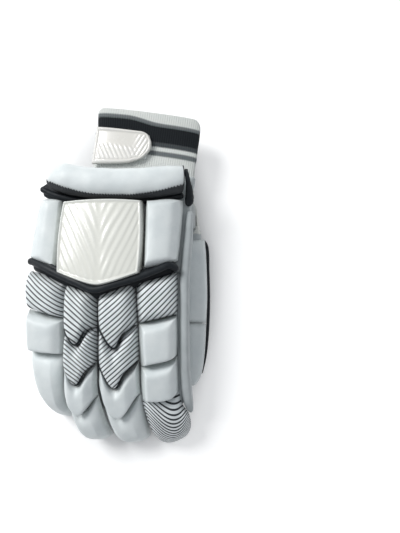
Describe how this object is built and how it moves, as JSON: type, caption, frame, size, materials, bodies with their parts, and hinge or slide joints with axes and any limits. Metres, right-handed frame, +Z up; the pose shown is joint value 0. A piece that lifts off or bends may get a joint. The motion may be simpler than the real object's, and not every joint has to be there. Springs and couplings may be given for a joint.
{
  "type": "cricket batting glove",
  "caption": "Padded right-hand cricket batting glove lying palm down: a hollow leather inner under striped and white finger padding, a moulded back plate, a cuff roll and a knitted wristband.",
  "frame": {"origin": "centre of the bounding box in X and Y, on the surface that the glove lies on", "axes": "+Y from the fingertips to the wrist, +X towards the thumb, +Z up out of the back of the hand"},
  "size_m": [0.1619, 0.312, 0.0739],
  "materials": {
    "white_leather": "smooth coated leather over foam",
    "striped_leather": "white coated leather printed with fine black lines",
    "palm_leather": "soft unglazed sheepskin leather",
    "lining": "soft leather and cotton",
    "knit": "ribbed knit, white with black and grey bands",
    "strap": "hook-and-loop webbing",
    "black_trim": "satin coated piping",
    "moulded_plate": "glossy moulded vinyl"
  },
  "bodies": {
    "root": {"back_block_inner": "white_leather", "back_block_outer": "white_leather", "back_lining": "lining", "back_plate": "moulded_plate", "cuff_binding": "black_trim", "cuff_piping": "black_trim", "cuff_roll": "white_leather", "finger_stall_index": "lining", "finger_stall_little": "lining", "finger_stall_middle": "lining", "finger_stall_ring": "lining", "index_1_striped": "striped_leather", "index_2_block": "white_leather", "index_3_block": "white_leather", "index_4_striped_tip": "striped_leather", "index_side_bar": "white_leather", "knuckle_piping": "black_trim", "little_1_striped": "striped_leather", "little_2_block": "white_leather", "little_3_tip": "white_leather", "middle_1_striped": "striped_leather", "middle_2_striped": "striped_leather", "middle_3_point": "white_leather", "middle_4_tip": "white_leather", "palm_leather": "palm_leather", "ring_1_striped": "striped_leather", "ring_2_striped": "striped_leather", "ring_3_point": "white_leather", "ring_4_tip": "white_leather", "strap_patch": "moulded_plate", "thumb_guard": "white_leather", "thumb_guard_tip": "white_leather", "thumb_piping": "black_trim", "thumb_stall": "lining", "wrist_strap": "strap", "wristband": "knit"}
  },
  "joints": []
}
